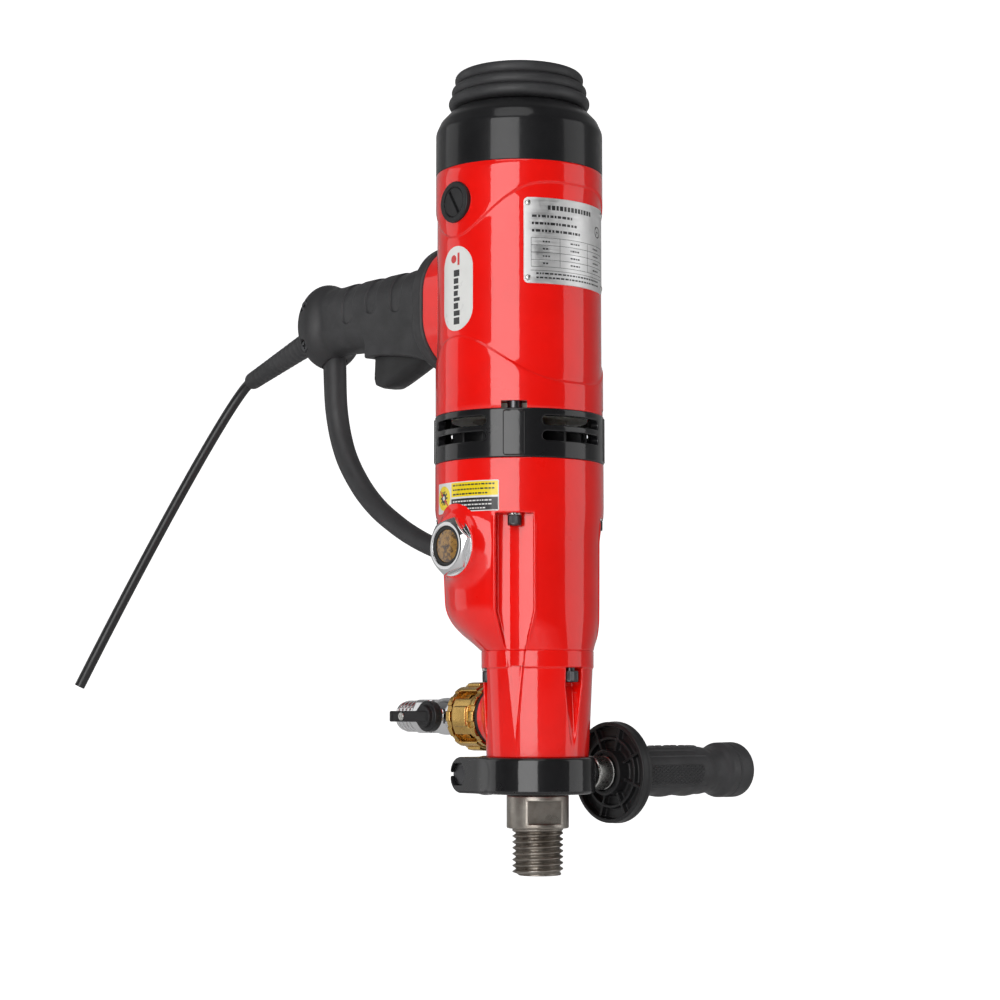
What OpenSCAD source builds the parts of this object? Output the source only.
// Hand-held diamond core drill with wet feed, side handle and rear pistol handle.
// Origin: spindle axis at the shoulder face where a core bit seats. +Z points
// from the bit towards the rear of the motor, -X towards the main handle,
// +Y towards the side handle.

/* [Motor body] */
// Outer diameter of the motor housing and gearbox flange
body_d = 107; // [106.6:0.1:107.4]
// Height of the motor housing above the vent ring
motor_h = 155.7; // [155.2:0.1:156.4]
// Depth of the recessed band round the motor housing
band_depth = 1.0; // [0.8:0.1:1.2]
// Height of the rear cover up to its shoulder
cover_h = 41.6; // [40:0.2:43]
// Height of the rubber rear bumper above the cover
bumper_h = 25.4; // [24:0.2:27]

/* [Vent ring] */
// Half of the angle that each pair of air slots spans
slot_half_angle = 26; // [20:1:28]
// Height of the upper air slots
slot_h = 6; // [5:0.5:6.5]

/* [Gear train] */
// Tooth module of the motor pinion and its gear
module_1 = 1.0; // [0.98:0.01:1.0]
// Tooth module of the output pair
module_2 = 1.6; // [1.58:0.01:1.6]
// Backlash of each pair, measured along the pitch circle
backlash = 0.14; // [0.10:0.02:0.22]

/* [Spindle] */
// Length of the male thread below the shoulder
thread_len = 29; // [26:0.5:32]
// Diameter of the shoulder
shoulder_d = 38.8; // [38:0.2:39.4]
// Width across the two wrench flats
flat_w = 32; // [31:0.5:33]

/* [Nose and water feed] */
// Radius of the neck that carries the side handle collar
neck_r = 30; // [29.8:0.1:30.2]
// Height of the water inlet above the shoulder
water_z = 69; // [68:0.5:70]
// Outer radius of the claw coupling lugs
claw_r = 20.25; // [19.5:0.25:20.5]

/* [Side handle] */
// Diameter of the hand guard
guard_d = 64.5; // [62:0.5:66]
// Diameter of the rubber grip
grip_d = 32; // [30:0.5:33]
// Length of the grip from the guard to its end
grip_len = 110.5; // [106:0.5:114]

/* [Main handle] */
// Height of the handle tube
tube_h = 49; // [48:0.5:50]
// Width of the handle tube
tube_w = 37; // [36:0.5:38]
// How far the trigger stands below the tube shroud
trigger_drop = 21.6; // [20:0.2:23]
// Outer radius of the brace sleeve where it leaves the handle
brace_r = 8.2; // [7.8:0.1:8.4]

/* [Cord] */
// Radius of the power cord
cord_r = 3.75; // [3.5:0.05:3.8]

/* [Hidden] */

$fn = 96;
eps = 0.01;
R = body_d / 2;
band_r = R - band_depth;
a1 = module_1 * (9 + 37) / 2;
a2 = module_2 * (14 + 36) / 2;
cx = -a2;          // countershaft axis
mx = cx + a1;      // motor axis
z_seam = 109.6;
z_f0 = 193.6;
z_f1 = 227.8;
z_v1 = 258.3;
z_m1 = z_v1 + motor_h;
z_c1 = z_m1 + cover_h;
z_top = z_c1 + bumper_h;
z_brush = 390.5;
corners = [45, 135, 225, 315];

red = [0.86, 0.04, 0.03];
black = [0.06, 0.06, 0.06];
rubber = [0.10, 0.10, 0.10];
steel = [0.62, 0.62, 0.62];
dark = [0.18, 0.18, 0.18];
brass = [0.72, 0.56, 0.25];

module ring(ri, ro, z0, z1, x = 0) {
    translate([x, 0, z0]) difference() {
        cylinder(r = ro, h = z1 - z0);
        translate([0, 0, -1]) cylinder(r = ri, h = z1 - z0 + 2);
    }
}
module rod(r, z0, z1, x = 0, y = 0) { translate([x, y, z0]) cylinder(r = r, h = z1 - z0); }
// solid bar along Y from y0 to y1
module bar_y(r, x, z, y0, y1) { translate([x, y1, z]) rotate([90, 0, 0]) cylinder(r = r, h = y1 - y0); }
// solid bar along X from x0 to x1
module bar_x(r, z, x0, x1, y = 0) { translate([x0, y, z]) rotate([0, 90, 0]) cylinder(r = r, h = x1 - x0); }
module block(a, b) { translate(a) cube(b - a); }
// part of a ring between two angles
module arc_ring(ri, ro, z0, z1, a0, a1, x = 0) {
    translate([x, 0, 0]) rotate([0, 0, a0]) rotate_extrude(angle = a1 - a0)
        translate([ri, z0]) square([ro - ri, z1 - z0]);
}
// upright oval: two half circles of radius w/2 and flat sides, drawn in X (width) and Y (height)
module oval2d(w, h) {
    for (s = [-1, 1]) translate([0, s * (h - w) / 2]) circle(r = w / 2);
    square([w, h - w], center = true);
}
// oval prism along X, centred on height z, Y is its width
module oval_x(w, h, z, x0, x1) {
    translate([x0, 0, z]) rotate([90, 0, 90]) linear_extrude(x1 - x0) oval2d(w, h);
}

// --- involute teeth ---------------------------------------------------------
function inv(a) = tan(a) - a * PI / 180;
function half_ang(r, m, n, x) = let (rp = m * n / 2, rb = rp * cos(20))
    ((PI / 2 + 2 * x * tan(20)) / n - backlash / 4 / rp + inv(20)
        - (r > rb ? inv(acos(rb / r)) : 0)) * 180 / PI;
function flank(m, n, x) = let (rp = m * n / 2, rb = rp * cos(20), rf = rp - m * (1.25 - x),
        ra = rp + m * (1 + x), r0 = max(rb, rf))
    concat(rf < rb ? [[rf, half_ang(rb, m, n, x)]] : [],
        [for (i = [0:5]) let (r = r0 + (ra - r0) * i / 5) [r, half_ang(r, m, n, x)]]);
module teeth(m, n, x, phase, h) {
    f = flank(m, n, x);
    k = len(f);
    linear_extrude(h) polygon([for (t = [0:n - 1]) let (c = phase + 360 * t / n)
        each concat([for (i = [0:k - 1]) f[i][0] * [cos(c - f[i][1]), sin(c - f[i][1])]],
                    [for (i = [k - 1:-1:0]) f[i][0] * [cos(c + f[i][1]), sin(c + f[i][1])]])]);
}

// --- rear end ---------------------------------------------------------------
module rear_bumper() color(rubber) {
    z0 = z_c1 + 1.2;
    h = z_top - z0;
    rotate_extrude_at(mx) difference() {
        union() {
            translate([0, z0 + 2.6]) square([41.5, h - 5.6]);
            translate([0, z0 + 4]) square([37.5, h - 4]);
            translate([41.4, z0 + 4.2]) circle(r = 4.0, $fn = 48);
            translate([39.5, z0 + 11.7]) circle(r = 3.8, $fn = 48);
            translate([37.5, z_top - 4.0]) circle(r = 4.0, $fn = 48);
        }
        translate([-1, z0 - 1]) square([37, 17]);
        translate([-60, 0]) square([60, 600]);
        translate([0, z_top - 1.4]) square([29, 3]);
        translate([36, z0 - 1]) square([6.2, 5]);
    }
}
module rear_cover() color(black) difference() {
    union() {
        rod(R, z_m1, z_m1 + 28, mx);
        translate([mx, 0, z_m1 + 28]) cylinder(r1 = R, r2 = R - 3.6, h = 6.8);
        translate([mx, 0, z_m1 + 34.8]) cylinder(r1 = R - 3.6, r2 = 43.3, h = cover_h - 34.8);
        rod(36, z_m1 + 20, z_c1 + 16, mx);
    }
    difference() {
        rod(48.5, z_m1 - 1, z_m1 + 30, mx);
        for (a = corners) translate([mx, 0, 0]) rotate(a) rod(5.5, z_m1 - 2, z_m1 + 32, 40);
    }
    rod(31, z_m1 + 25, z_c1 + 12, mx);
    for (a = corners) translate([mx, 0, 0]) rotate(a) {
        rod(2.1, z_m1 - 1, z_c1 + 1, 40);
        rod(4.0, z_c1 - 4, z_c1 + 1, 40);
    }
}
module rear_cover_screws() color(steel) for (a = corners) translate([mx, 0, 0]) rotate(a) {
    rod(2.0, z_m1 - 9, z_c1 - 4, 40);
    difference() {
        rod(3.8, z_c1 - 4, z_c1 - 0.6, 40);
        translate([40, 0, z_c1 - 2.6]) cylinder(r = 2, h = 4, $fn = 6);
    }
}

// --- motor housing ----------------------------------------------------------
module motor_housing() color(red) difference() {
    union() {
        rotate_extrude_at(mx) difference() {
            translate([0, z_v1]) square([R, motor_h]);
            translate([band_r, 306]) square([R, 62]);
            translate([-1, z_v1 - 1]) square([49, 287 - z_v1]);
            translate([-1, 285]) square([45, 87]);
            translate([-1, 371]) square([49, z_m1 - 381]);
        }
        for (a = corners) translate([mx, 0, 0]) rotate(a) rod(4.4, z_v1 + 0.4, 288, 48.5);
        for (s = [-1, 1]) bar_y(14, mx, z_brush, min(s * 30, s * 50), max(s * 30, s * 50));
    }
    for (a = [-40, 140]) arc_ring(band_r - 0.02, R + 1, 290, 394, a, a + 80, mx);
    for (s = [-1, 1]) {
        bar_y(8, mx, z_brush, min(s * 29, s * 56), max(s * 29, s * 56));
        bar_y(11.1, mx, z_brush, min(s * 47, s * 56), max(s * 47, s * 56));
        bar_y(13.1, mx, z_brush, min(s * 51.5, s * 56), max(s * 51.5, s * 56));
    }
    // rear bearing seat and air holes in the end wall
    rod(13, z_m1 - 11, z_m1 - 2, mx);
    for (a = [0:45:359]) translate([mx, 0, 0]) rotate(a) rod(5, z_m1 - 12, z_m1 + 1, 24);
    for (a = corners) translate([mx, 0, 0]) rotate(a) {
        rod(2.0, z_m1 - 9.2, z_m1 + 1, 40);
        rod(2.55, z_v1 - 1, 281, 48.5);
        translate([42.5, -8, z_v1 - 1]) cube([14, 16, 5.5]);
    }
}
module air_baffle() color([0.85, 0.83, 0.78]) ring(30, 43.2, 255.5, 262.6, mx);
module nameplate() color([0.75, 0.75, 0.74]) arc_ring(band_r, band_r + 0.7, 336, 390, -38.6, 38.6, mx);
module nameplate_rivets() color(steel) for (a = [-36, 36], z = [339.5, 386.5])
    translate([mx, 0, z]) rotate([0, 90, a]) translate([0, 0, band_r + 0.7]) cylinder(r = 1.9, h = 0.6);
module badge_sticker() color([0.9, 0.9, 0.88]) intersection() {
    ring(band_r, band_r + 0.25, 300, 370, mx);
    translate([mx, -40, 335.8]) rotate([90, 0, 0]) linear_extrude(20) oval2d(28, 53.6);
}
module brush_caps() color(black) for (s = [0, 180]) translate([mx, 0, z_brush]) rotate(s)
    difference() {
        union() {
            translate([0, -47, 0]) rotate([90, 0, 0]) cylinder(r = 11, h = 7.4);
            translate([0, -51.5, 0]) rotate([90, 0, 0]) cylinder(r = 13, h = 3.6);
        }
        translate([0, -53.9, 0]) rotate([90, 0, 0]) cylinder(r = 10.4, h = 3);
        rotate([0, 28, 0]) block([-1.1, -56, -9], [1.1, -52.2, 9]);
    }
module brush_holders() color(brass) for (s = [0, 180]) translate([mx, 0, z_brush]) rotate(s)
    difference() {
        translate([0, -21, 0]) rotate([90, 0, 0]) cylinder(r = 8, h = 26);
        block([-3.2, -48, -5.05], [3.2, -20, 5.05]);
    }
module carbon_brushes() color(dark) for (s = [0, 180]) translate([mx, 0, z_brush]) rotate(s)
    block([-3.15, -34, -5], [3.15, -18.1, 5]);
// helical spring wound from square wire of thickness w
module coil(r, w, h, turns) {
    span = 360 * w / (h / turns);
    linear_extrude(height = h - w, twist = -360 * turns * (h - w) / h, slices = 12 * turns, $fn = 8)
        polygon(concat([for (i = [0:7]) (r - w / 2) * [cos(span * i / 7), sin(span * i / 7)]],
            [for (i = [7:-1:0]) (r + w / 2) * [cos(span * i / 7), sin(span * i / 7)]]));
}
module brush_springs() color(steel) for (s = [0, 180]) translate([mx, 0, z_brush]) rotate(s)
    translate([0, -34.1, 0]) rotate([90, 0, 0]) coil(2.2, 0.8, 12.6, 5);

// --- motor ------------------------------------------------------------------
module stator_core() color(dark) difference() {
    ring(25.7, 44, 290, 366, mx);
    for (a = [30, -55, 125, 210]) arc_ring(27.9, 38.1, 280, 375, a - 0.2, a + 25.2, mx);
}
module field_windings() color([0.6, 0.3, 0.12]) for (b = [0, 180]) difference() {
    arc_ring(28, 38, 279, 376.5, b - 55, b + 55, mx);
    arc_ring(27, 39, 289, 366.5, b - 30, b + 30, mx);
}
module armature_shaft() color(steel) {
    translate([mx, 0, 196]) teeth(module_1, 9, 0.5, 200, 15.7);
    rod(3.75 * module_1 - 0.5, 204, 220, mx);
    rod(6, 212, 402, mx);
    rod(5, 401, z_m1 - 2.4, mx);
}
module armature_core() color(dark) difference() {
    ring(6, 25, 291, 365, mx);
    for (a = [0:22.5:359]) translate([mx, 0, 0]) rotate(a) block([18, -1.4, 290], [26, 1.4, 366]);
}
module armature_windings() color([0.62, 0.32, 0.12]) {
    rotate_extrude_at(mx) translate([8, 279]) square([15, 11.9]);
    rotate_extrude_at(mx) translate([8, 365.1]) square([14, 11.4]);
}
module rotate_extrude_at(x) { translate([x, 0, 0]) rotate_extrude() children(); }
module commutator() color([0.7, 0.42, 0.2]) difference() {
    ring(6, 18, 381, 401, mx);
    for (a = [7.5:15:359]) translate([mx, 0, 0]) rotate(a) block([16.6, -0.3, 380], [19, 0.3, 402]);
}
module fan() color([0.16, 0.16, 0.17]) difference() {
    union() {
        rod(10, 233.6, 250, mx);
        rod(43, 233.6, 235.8, mx);
        for (a = [0:24:359]) translate([mx, 0, 0]) rotate(a) block([9, -1, 235], [43, 1, 250]);
    }
    rod(6, 230, 260, mx);
}
module bearing(ri, ro, z0, z1, x) {
    w = (ro - ri) * 0.28;
    difference() {
        ring(ri, ro, z0, z1, x);
        for (z = [z0 - 1, z1 - 0.8]) ring(ri + w, ro - w, z, z + 1.8, x);
    }
}
module shaft_bearings() color(steel) {
    bearing(12.52, 23.5, 30, 42, 0);
    bearing(12.52, 23.5, 95, 107, 0);
    bearing(8.52, 17.5, 177, 187, 0);
    bearing(5.02, 13, 131, 139, cx);
    bearing(5.02, 13, 213.6, 221.5, cx);
    bearing(6.02, 14, 223, 231, mx);
    bearing(5.02, 13, z_m1 - 10, z_m1 - 2, mx);
}

// --- vent ring --------------------------------------------------------------
module vent_ring() color(black) difference() {
    union() {
        ring(48.5, R + 0.2, z_f1, z_v1, mx);
        for (a = corners) translate([mx, 0, 0]) rotate(a) intersection() {
            rod(5, z_f1, z_v1, 48.5);
            rod(R, z_f1, z_v1, 0);
        }
    }
    for (a = [0:90:270]) {
        arc_ring(46, R + 2, 251 - slot_h / 2, 251 + slot_h / 2, a - slot_half_angle, a + slot_half_angle, mx);
        arc_ring(46, R + 2, 238.5, 244.3, a - slot_half_angle, a + slot_half_angle, mx);
    }
    for (a = corners) translate([mx, 0, 0]) rotate(a) rod(2.6, z_f1 - 1, z_v1 + 1, 48.5);
}
module screw_sleeves() color(dark) for (a = corners) translate([mx, 0, 0]) rotate(a)
    translate([48.5, 0, 0]) ring(2.55, 4.4, z_v1, z_v1 + 4.4);

// --- gearbox ----------------------------------------------------------------
module gearbox_case() color(red) difference() {
    union() {
        rod(R + 0.1, 200, z_f1, mx);
        translate([mx, 0, 180]) cylinder(r1 = 50.2, r2 = R + 0.1, h = 20);
        rod(49.75, 131.9, 190, mx + 2.8);
        hull() {
            rod(35, z_seam, z_seam + 0.6, 0, $fn = 64);
            rod(48.9, 130.4, 132, mx + 3.4, $fn = 64);
        }
        bar_y(19, mx, 174, -55, -36);
        bar_y(13.5, mx, 181.6, 36, 50.4);
        bar_x(10.5, 174, -74, -56);
    }
    // screw channels under the flange
    for (a = corners) difference() {
        translate([mx, 0, 0]) rotate(a) translate([30, 0, 0]) rotate([90, 0, 90])
            linear_extrude(40) polygon([[-11.5, z_f0], [-11.5, 134], [0, z_seam + 1], [11.5, 134], [11.5, z_f0]]);
        rod(42.5, 100, z_f0 + 1, mx);
        rod(33.6, 100, z_f0 + 1, 0);
    }
    for (a = corners) translate([mx, 0, 0]) rotate(a) rod(2.55, z_f0 - 2, z_f1 + 1, 48.5);
    // gear chambers
    rod(31.05, z_seam - 1, z_seam + 3, 0);
    rod(24, z_seam, 150, 0);
    rod(31.2, 146, 176, 0);
    rod(17.5, 170, 187, 0);
    rod(13, 131, 200, cx);
    rod(14.4, 139, 200, cx);
    rod(44, 195.5, 215, mx);
    rod(45, 213.6, z_f1 + 1, mx);
    // sight glass bore, selector shaft bore, brace socket
    bar_y(8.5, mx, 174, -60, -24);
    bar_y(12.5, mx, 174, -56, -45);
    bar_y(12, mx, 181.6, 50.45, 60);
    bar_y(6.05, mx, 181.6, 30, 52);
    bar_y(9, mx, 181.6, 20, 34);
    bar_x(6.5, 174, -76, -62);
    rod(3.02, 174, 190, -68);
    // nose screw holes
    for (a = [0, 120, 240]) rotate(a) rod(3.05, z_seam - 1, 126, 30);
}
module gearbox_screws() color(dark) for (a = corners) translate([mx, 0, 0]) rotate(a) {
    rod(2.5, 192.2, 280, 48.5);
    difference() {
        rod(4.25, 186, 192.2, 48.5);
        translate([48.5, 0, 185]) cylinder(r = 2.3, h = 4, $fn = 6);
    }
}
module spring_washers() color(steel) {
    for (a = corners) translate([mx, 0, 0]) rotate(a) translate([48.5, 0, 0]) ring(2.5, 4.5, 192.2, z_f0);
    for (a = [0, 120, 240]) rotate(a) translate([30, 0, 0]) ring(3, 5.1, 97.2, 99);
}
module bearing_plate() color([0.7, 0.7, 0.7]) difference() {
    union() {
        rod(45, 213.6, z_f1, mx);
        rod(18, z_f1, 232, mx);
    }
    rod(6.6, 212, 224, mx);
    rod(14, 223, 233, mx);
    rod(13, 212, 221.5, cx);
}
module gear_label() color([0.95, 0.8, 0.1]) arc_ring(R + 0.1, R + 0.3, 195, 214, -111.5, -55, mx);
module countershaft() color(steel) {
    rod(5, 131.5, 140, cx);
    rod(8, 140, 149, cx);
    translate([cx, 0, 149]) teeth(module_2, 14, 0.2, 360 / 28, 24);
    rod(8, 173, 196.8, cx);
    rod(7.5, 196.8, 213.4, cx);
    rod(5, 213.4, 221, cx);
}
// gear of the first stage with the friction disc of its slip clutch
module counter_gear() color(steel) {
    translate([cx, 0, 197]) difference() {
        teeth(module_1, 37, -0.5, 0, 14);
        translate([0, 0, -1]) cylinder(r = 7.5, h = 16);
    }
    ring(7.5, 14, 211.1, 213, cx);
}
// output gear and the key that locks it to the spindle
module output_gear() color(steel) {
    difference() {
        translate([0, 0, 150]) teeth(module_2, 36, -0.2, 0, 22);
        rod(12, 149, 173);
        block([-3, 8, 149], [3, 14.8, 173]);
    }
    block([-3, 9.2, 151], [3, 14.8, 171]);
}
module sight_glass_nut() color([0.8, 0.8, 0.8]) difference() {
    union() {
        bar_y(12.5, mx, 174, -55, -45);
        translate([mx, -55, 174]) rotate([90, -13.6, 0]) intersection() {
            cylinder(r = 16 / cos(30), h = 6, $fn = 6);
            cylinder(r1 = 20, r2 = 17.2, h = 6);
        }
    }
    bar_y(8.5, mx, 174, -62, -44);
    bar_y(12.4, mx, 174, -62, -57);
}
module sight_glass_lens() color([0.75, 0.45, 0.08]) bar_y(12.4, mx, 174, -60.2, -57);
module gear_knob() color(black) {
    bar_y(11.5, mx, 181.6, 50.6, 55);
    bar_y(6, mx, 181.6, 34, 50.6);
    bar_y(2.5, mx + 3.4, 181.6, 24, 34);
    translate([mx, 55, 181.6]) block([-2.5, -0.1, -10.5], [2.5, 3.6, 10.5]);
}

// --- nose -------------------------------------------------------------------
module nose_housing() color(red) difference() {
    union() {
        rod(neck_r, 21.3, 44.1);
        translate([0, 0, 44]) cylinder(r1 = 32, r2 = 34.6, h = z_seam - 44);
        rod(35, 99, z_seam);
        rod(31, z_seam, z_seam + 3);
        bar_x(19, water_z, -37, -10);
    }
    for (a = [0, 120, 240]) rotate(a) {
        rod(3.05, 97, z_seam + 4, 30);
        intersection() {
            translate([24, 0, 0]) rotate([90, 0, 90]) linear_extrude(20)
                polygon([[-6.5, 99], [-6.5, 88], [-1, 46], [1, 46], [6.5, 88], [6.5, 99]]);
            translate([0, 7, 0]) rotate([90, 0, 0]) linear_extrude(14)
                polygon([[24.8, 99], [24.8, 89], [32.2, 46], [42, 46], [42, 99]]);
        }
    }
    rod(23.5, 20, 42);
    rod(20, 41, 96);
    rod(23.5, 94, z_seam + 4);
    bar_x(5, water_z, -26, -15);
    bar_x(9, water_z, -38, -25);
}
module nose_screws() color(dark) for (a = [0, 120, 240]) rotate(a) {
    rod(3, 97.2, 125, 30);
    difference() {
        rod(5, 90.2, 97.2, 30);
        translate([30, 0, 89]) cylinder(r = 2.9, h = 4.4, $fn = 6);
    }
}
module spindle() color([0.45, 0.43, 0.40]) difference() {
    union() {
        rod(15.875, -thread_len + 1.5, 0);
        translate([0, 0, -thread_len]) cylinder(r1 = 14.4, r2 = 15.875, h = 1.5);
        rod(shoulder_d / 2, 0, 19.3);
        translate([0, 0, 19.3]) cylinder(r1 = shoulder_d / 2, r2 = shoulder_d / 2 - 1.2, h = 1.2);
        rod(15, 20, 29.5);
        rod(12.5, 29.5, 148);
        rod(12, 148, 175.5);
        rod(8.5, 175.5, 187);
    }
    rotate(-27) for (s = [0, 180]) rotate(s) block([flat_w / 2, -20, 3], [30, 20, 17]);
    rod(9.32, -thread_len - 1, -13);
    rod(4, -14, 72);
    for (a = [0, 90]) rotate(a) translate([-20, 0, water_z]) rotate([0, 90, 0]) cylinder(r = 2.5, h = 40);
    block([-3, 9.2, 151], [3, 14, 171]);
}
// lip seals on the spindle, and the two washers of the water coupling
module seals() color(rubber) {
    ring(15.05, 23.5, 22, 29);
    ring(12.55, 20, 50, 57);
    ring(12.55, 20, 81, 88);
    translate([-54, 0, water_z]) rotate([0, 90, 0]) ring(7, 14, 0, 2.5);
    translate([-39.5, 0, water_z]) rotate([0, 90, 0]) ring(9, 18.6, 0, 2.5);
}

// --- side handle ------------------------------------------------------------
module collar_clamp() color(black) difference() {
    union() {
        rod(36, 21.3, 43.9);
        translate([0, 34, 0]) rotate([90, 0, 0]) linear_extrude(68) {
            translate([-35, 21.3]) square([35, 22.6]);
            for (z = [31.3, 33.9]) translate([-35, z]) circle(r = 10);
            translate([-45, 31.3]) square([12, 2.6]);
        }
        bar_y(10, 0, 33.3, 30, 43.3);
    }
    rod(neck_r + 0.05, 20, 45);
    block([-60, -1, 20], [-20, 1, 45]);
    bar_y(4.05, -37.5, 33, -40, 40);
    translate([-37.5, -26, 33]) rotate([90, 30, 0]) cylinder(r = 6.5 / cos(30) + 0.1, h = 10, $fn = 6);
    translate([-37.5, 36, 33]) rotate([90, 30, 0]) cylinder(r = 6.5 / cos(30) + 0.1, h = 9, $fn = 6);
    bar_y(5, 0, 33.3, 28, 46);
}
module side_handle_stud() color([0.7, 0.7, 0.7]) bar_y(5, 0, 33.3, 31, 160);
module side_handle_spacer() color([0.7, 0.7, 0.7]) difference() {
    bar_y(10.75, 0, 33.3, 43.3, 56.4);
    bar_y(5, 0, 33.3, 40, 60);
}
module collar_bolt_and_nut() color(dark) {
    bar_y(4, -37.5, 33, -26, 34);
    translate([-37.5, -26, 33]) rotate([90, 30, 0]) cylinder(r = 6.5 / cos(30), h = 5.3, $fn = 6);
    difference() {
        translate([-37.5, 33.4, 33]) rotate([90, 30, 0]) cylinder(r = 6.5 / cos(30), h = 6.4, $fn = 6);
        bar_y(4, -37.5, 33, 20, 40);
    }
}
module hand_guard() color(black) difference() {
    union() {
        bar_y(15, 0, 33.3, 56.4, 66);
        bar_y(guard_d / 2, 0, 33.3, 65, 69);
        difference() {
            bar_y(guard_d / 2, 0, 33.3, 61, 65.5);
            bar_y(guard_d / 2 - 2.6, 0, 33.3, 60, 66);
        }
        for (a = [18:45:333]) translate([0, 61, 33.3]) rotate([0, a, 0]) block([10, 0, -0.9], [guard_d / 2 - 2, 5, 0.9]);
    }
    bar_y(5, 0, 33.3, 50, 160);
}
module side_grip() color(rubber) {
    y_end = 69 + grip_len;
    difference() {
        union() {
            bar_y(grip_d / 2, 0, 33.3, 69, y_end - 12);
            bar_y(18.3, 0, 33.3, y_end - 12, y_end);
        }
        bar_y(5, 0, 33.3, 50, 160);
    }
}

// --- main handle ------------------------------------------------------------
hx0 = mx - 67;     // outer face of the handle flange
hx1 = mx - 57;     // seat of the flange on the saddle
bx = mx - 201;     // centre of the ball end
zt = 343.5;        // centre of the tube
module handle_saddle() color(red) difference() {
    oval_x(68, 84, 335, hx1, mx - 30);
    rod(R, 280, 390, mx);
    oval_x(30, 40, 335, hx1 - 1, mx - 20);
}
// a bent bar through the points p, from radius ra to rb, with a slightly proud ball at each bend
module bent_bar(p, ra, rb) {
    n = len(p) - 1;
    for (i = [0:n - 1]) {
        d = p[i + 1] - p[i];
        r = ra + (rb - ra) * i / max(n - 1, 1);
        e = 0.135 * r;
        translate(p[i] + d / norm(d) * (i > 0 ? e : 0)) rotate([0, acos(d[2] / norm(d)), atan2(d[1], d[0])])
            cylinder(r = r, h = norm(d) - (i > 0 ? e : 0) - (i < n - 1 ? e : 0));
        if (i > 0) translate(p[i]) sphere(r = 1.018 * (ra + (rb - ra) * (i - 1) / (n - 1)));
    }
}
module brace_bar() color(rubber) bent_bar([[bx + 5, 0, 318], [bx + 5, 0, 305], [bx + 8, 0, 281], [bx + 17.5, 0, 252],
    [bx + 34, 0, 229], [bx + 54, 0, 211], [bx + 77, 0, 197], [bx + 98, 0, 187], [bx + 120, 0, 179],
    [-78, 0, 174], [-62, 0, 174]], brace_r, 6.4);
module brace_set_screw() color(dark) difference() {
    rod(3, 180.5, 184.4, -68);
    translate([-68, 0, 182.5]) cylinder(r = 1.7, h = 4, $fn = 6);
}
module handle_solid() {
    oval_x(70, 86, 335, hx0, hx1);
    oval_x(tube_w, tube_h, zt, bx, hx0);
    intersection() {
        union() {
            for (z = [-5, 5]) translate([bx, 0, 341.5 + z]) sphere(r = 25);
            rod(25, 336.5, 346.5, bx);
        }
        block([bx - 18, -40, 300], [bx + 18, 40, 380]);
    }
    block([bx + 58, -14.5, 312], [hx0, 14.5, 330]);
}
module handle_void() {
    oval_x(tube_w - 7, tube_h - 7, zt, bx - 6, hx0 - 6);
    oval_x(26, 34, 335, hx0 - 10, hx1 + 1);
    block([bx + 61, -9.3, 300], [hx0 - 4.5, 9.3, 330]);
}
module handle_half(s) difference() {
    intersection() {
        handle_solid();
        block([-260, s > 0 ? 0 : -60, 250], [0, s > 0 ? 60 : 0, 400]);
    }
    handle_void();
    // brace socket, cord gland, trigger pin and screw holes
    translate([bx + 5, 0, 300]) rotate(40) cylinder(r = brace_r + 0.1, h = 18.1);
    translate([bx - 30, 0, 336.8]) rotate([0, 90, 0]) cylinder(r = 7.6, h = 24.1);
    bar_y(1.5, hx0 - 8, 318, -20, 20);
    for (z = [327, 355]) bar_y(2, bx - 3, z, -40, 40);
    for (z = [327, 355]) bar_y(4.3, bx - 3, z, -40, -18);
    bar_y(5.15, bx + 70, 349, 10, 30);
}
module handle_shell_left() color(rubber) handle_half(-1);
module handle_shell_right() color(rubber) handle_half(1);
module handle_screws() color(steel) {
    for (z = [327, 355]) {
        bar_y(2, bx - 3, z, -18, 12);
        bar_y(3.9, bx - 3, z, -20.4, -18);
    }
    bar_y(1.5, hx0 - 8, 318, -14.4, 14.4);
}
module switch_body() color(dark) block([bx + 68, -10, 331], [bx + 108, 10, 356]);
module trigger() color(black) difference() {
    translate([0, 9, 0]) rotate([90, 0, 0]) linear_extrude(18) polygon([
        [hx0 - 5, 322], [bx + 63, 319], [bx + 62, 296],
        [bx + 66, 312 - trigger_drop], [bx + 80, 312 - trigger_drop - 0.2],
        [bx + 100, 296.5], [bx + 112, 303], [hx0 - 5, 312.5]]);
    bar_y(1.54, hx0 - 8, 318, -20, 20);
}
module trigger_spring() color(steel) translate([bx + 78, 0, 320.5]) coil(3, 0.9, 10.4, 4);
module lock_button() color(black) bar_y(5, bx + 70, 349, 14.2, 22);
// --- cord -------------------------------------------------------------------
c0 = [bx - 10, 0, 338];
c1 = [mx - 298, 0, 313];
c3 = [mx - 379, -92, 90];
function bez(a, b, c, d, t) = pow(1 - t, 3) * a + 3 * pow(1 - t, 2) * t * b + 3 * (1 - t) * t * t * c + t * t * t * d;
cord_pts = concat([c0], [for (i = [0:9]) bez(c1, c1 + [-22, 0, -6.6], c3 + [31, 37, 99], c3, i / 9)]);
cord_dir = c1 - c0;
cord_len = norm(cord_dir);
module along_cord() translate(c0) rotate([0, -acos(cord_dir[2] / cord_len), 0]) children();
module strain_relief() color(rubber) along_cord() rotate_extrude() polygon([
    [cord_r + 0.08, 2.2], [5.9, 2.2], [5.9, 10.6], [8.6, 13.6], [6, cord_len],
    [cord_r + 0.45, cord_len], [cord_r + 0.08, cord_len - 2.5]]);
module power_cord() color(black) bent_bar(cord_pts, cord_r, cord_r);

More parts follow.
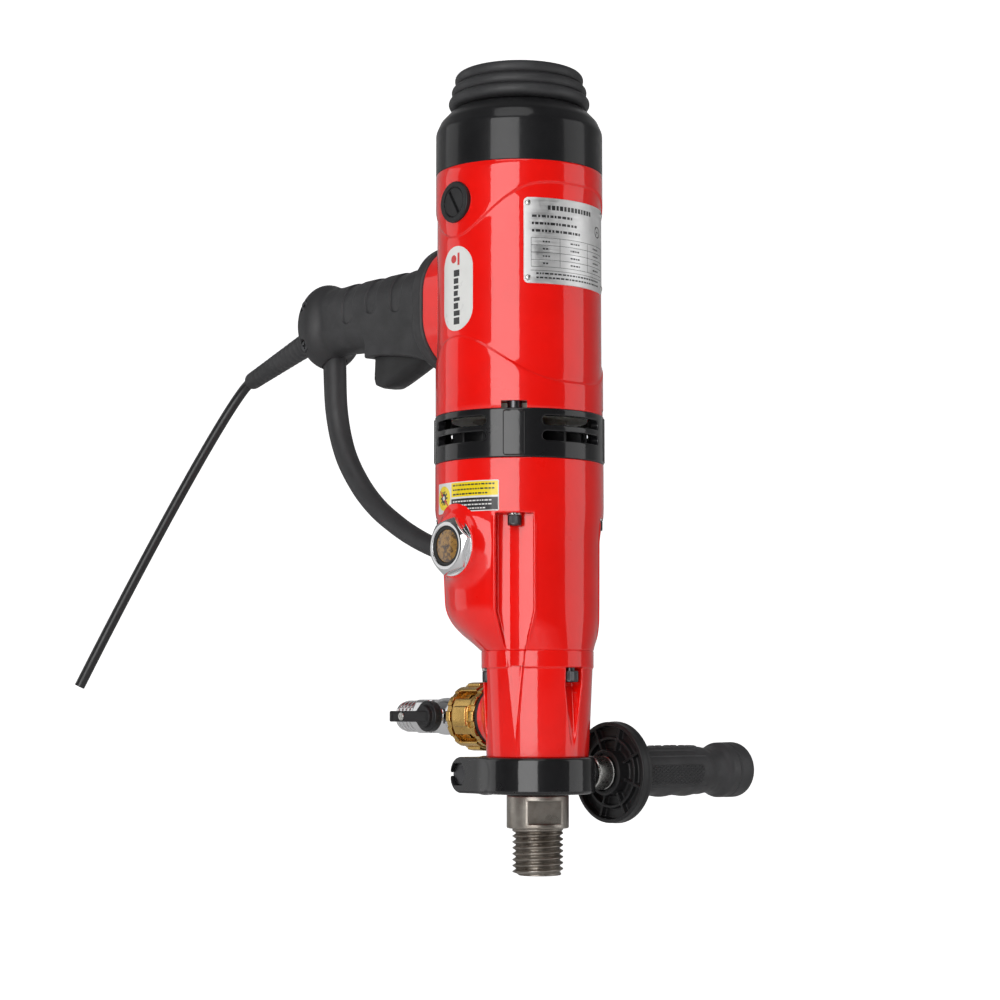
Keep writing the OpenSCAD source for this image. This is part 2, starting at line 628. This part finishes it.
// --- water feed -------------------------------------------------------------
module claw_gaps(x0, x1, a) {
    for (s = [0, 180]) rotate([a + s, 0, 0]) rotate([0, 90, 0]) arc_ring(16, claw_r + 1, x0, x1, 36, 144);
}
module claw_coupling_fixed() color(brass) translate([0, 0, water_z]) difference() {
    union() {
        bar_x(claw_r, 0, -60, -39.5);
        bar_x(9, 0, -40, -26);
    }
    bar_x(16.2, 0, -61, -51.5);
    claw_gaps(-61, -44, 0);
    bar_x(6, 0, -60, -20);
}
module claw_coupling_loose() color(brass) translate([0, 0, water_z]) difference() {
    union() {
        bar_x(claw_r, 0, -66, -46);
        bar_x(7.5, 0, -72, -65);
    }
    bar_x(16.2, 0, -54, -45);
    claw_gaps(-62, -45, 90);
    bar_x(6, 0, -74, -50);
}
module water_valve_body() color([0.8, 0.8, 0.8]) translate([0, 0, water_z]) difference() {
    union() {
        translate([-78, 0, 0]) rotate([0, 90, 0]) cylinder(r = 11 / cos(30), h = 12, $fn = 6);
        translate([-100, 0, 0]) rotate([0, 90, 0]) cylinder(r = 10.4, h = 24);
        translate([-112, 0, 0]) rotate([0, 90, 0]) cylinder(r = 11 / cos(30), h = 12, $fn = 6);
        translate([-128, 0, 0]) rotate([0, 90, 0]) cylinder(r = 10.48, h = 17);
        translate([-131, 0, 0]) rotate([0, 90, 0]) cylinder(r = 9.6, h = 4);
        translate([-86, -13.4, 0]) rotate([-90, 0, 0]) cylinder(r = 6.4, h = 8);
    }
    translate([-86, 0, 0]) sphere(r = 8.05);
    translate([-132, 0, 0]) rotate([0, 90, 0]) cylinder(r = 4.5, h = 70);
    translate([-73, 0, 0]) rotate([0, 90, 0]) cylinder(r = 7.5, h = 10);
    translate([-86, -14, 0]) rotate([-90, 0, 0]) cylinder(r = 3.03, h = 12);
}
module valve_ball_stem() color([0.8, 0.8, 0.8]) translate([-86, 0, water_z]) difference() {
    union() {
        sphere(r = 8);
        bar_y(3, 0, 0, -30, -4);
        bar_y(2.7, 0, 0, -31, -29);
    }
    bar_x(4.5, 0, -20, 20);
}
module water_valve_lever() color(black) translate([-86, 0, water_z]) difference() {
    union() {
        bar_y(10, 0, 0, -20, -14);
        block([-25, -30, -3.5], [7, -19, 3.5]);
    }
    bar_y(3, 0, 0, -32, -10);
}

rear_bumper();
rear_cover();
rear_cover_screws();
motor_housing();
air_baffle();
vent_ring();
gearbox_case();
gearbox_screws();
spring_washers();
screw_sleeves();
bearing_plate();
nose_housing();
nose_screws();
nameplate();
nameplate_rivets();
badge_sticker();
gear_label();
brush_caps();
brush_holders();
carbon_brushes();
brush_springs();
stator_core();
field_windings();
armature_shaft();
armature_core();
armature_windings();
commutator();
fan();
shaft_bearings();
countershaft();
counter_gear();
output_gear();
spindle();
seals();
sight_glass_nut();
sight_glass_lens();
gear_knob();
handle_saddle();
handle_shell_left();
handle_shell_right();
handle_screws();
switch_body();
trigger();
trigger_spring();
lock_button();
brace_bar();
brace_set_screw();
strain_relief();
power_cord();
claw_coupling_fixed();
claw_coupling_loose();
water_valve_body();
valve_ball_stem();
water_valve_lever();
collar_clamp();
collar_bolt_and_nut();
side_handle_stud();
side_handle_spacer();
hand_guard();
side_grip();
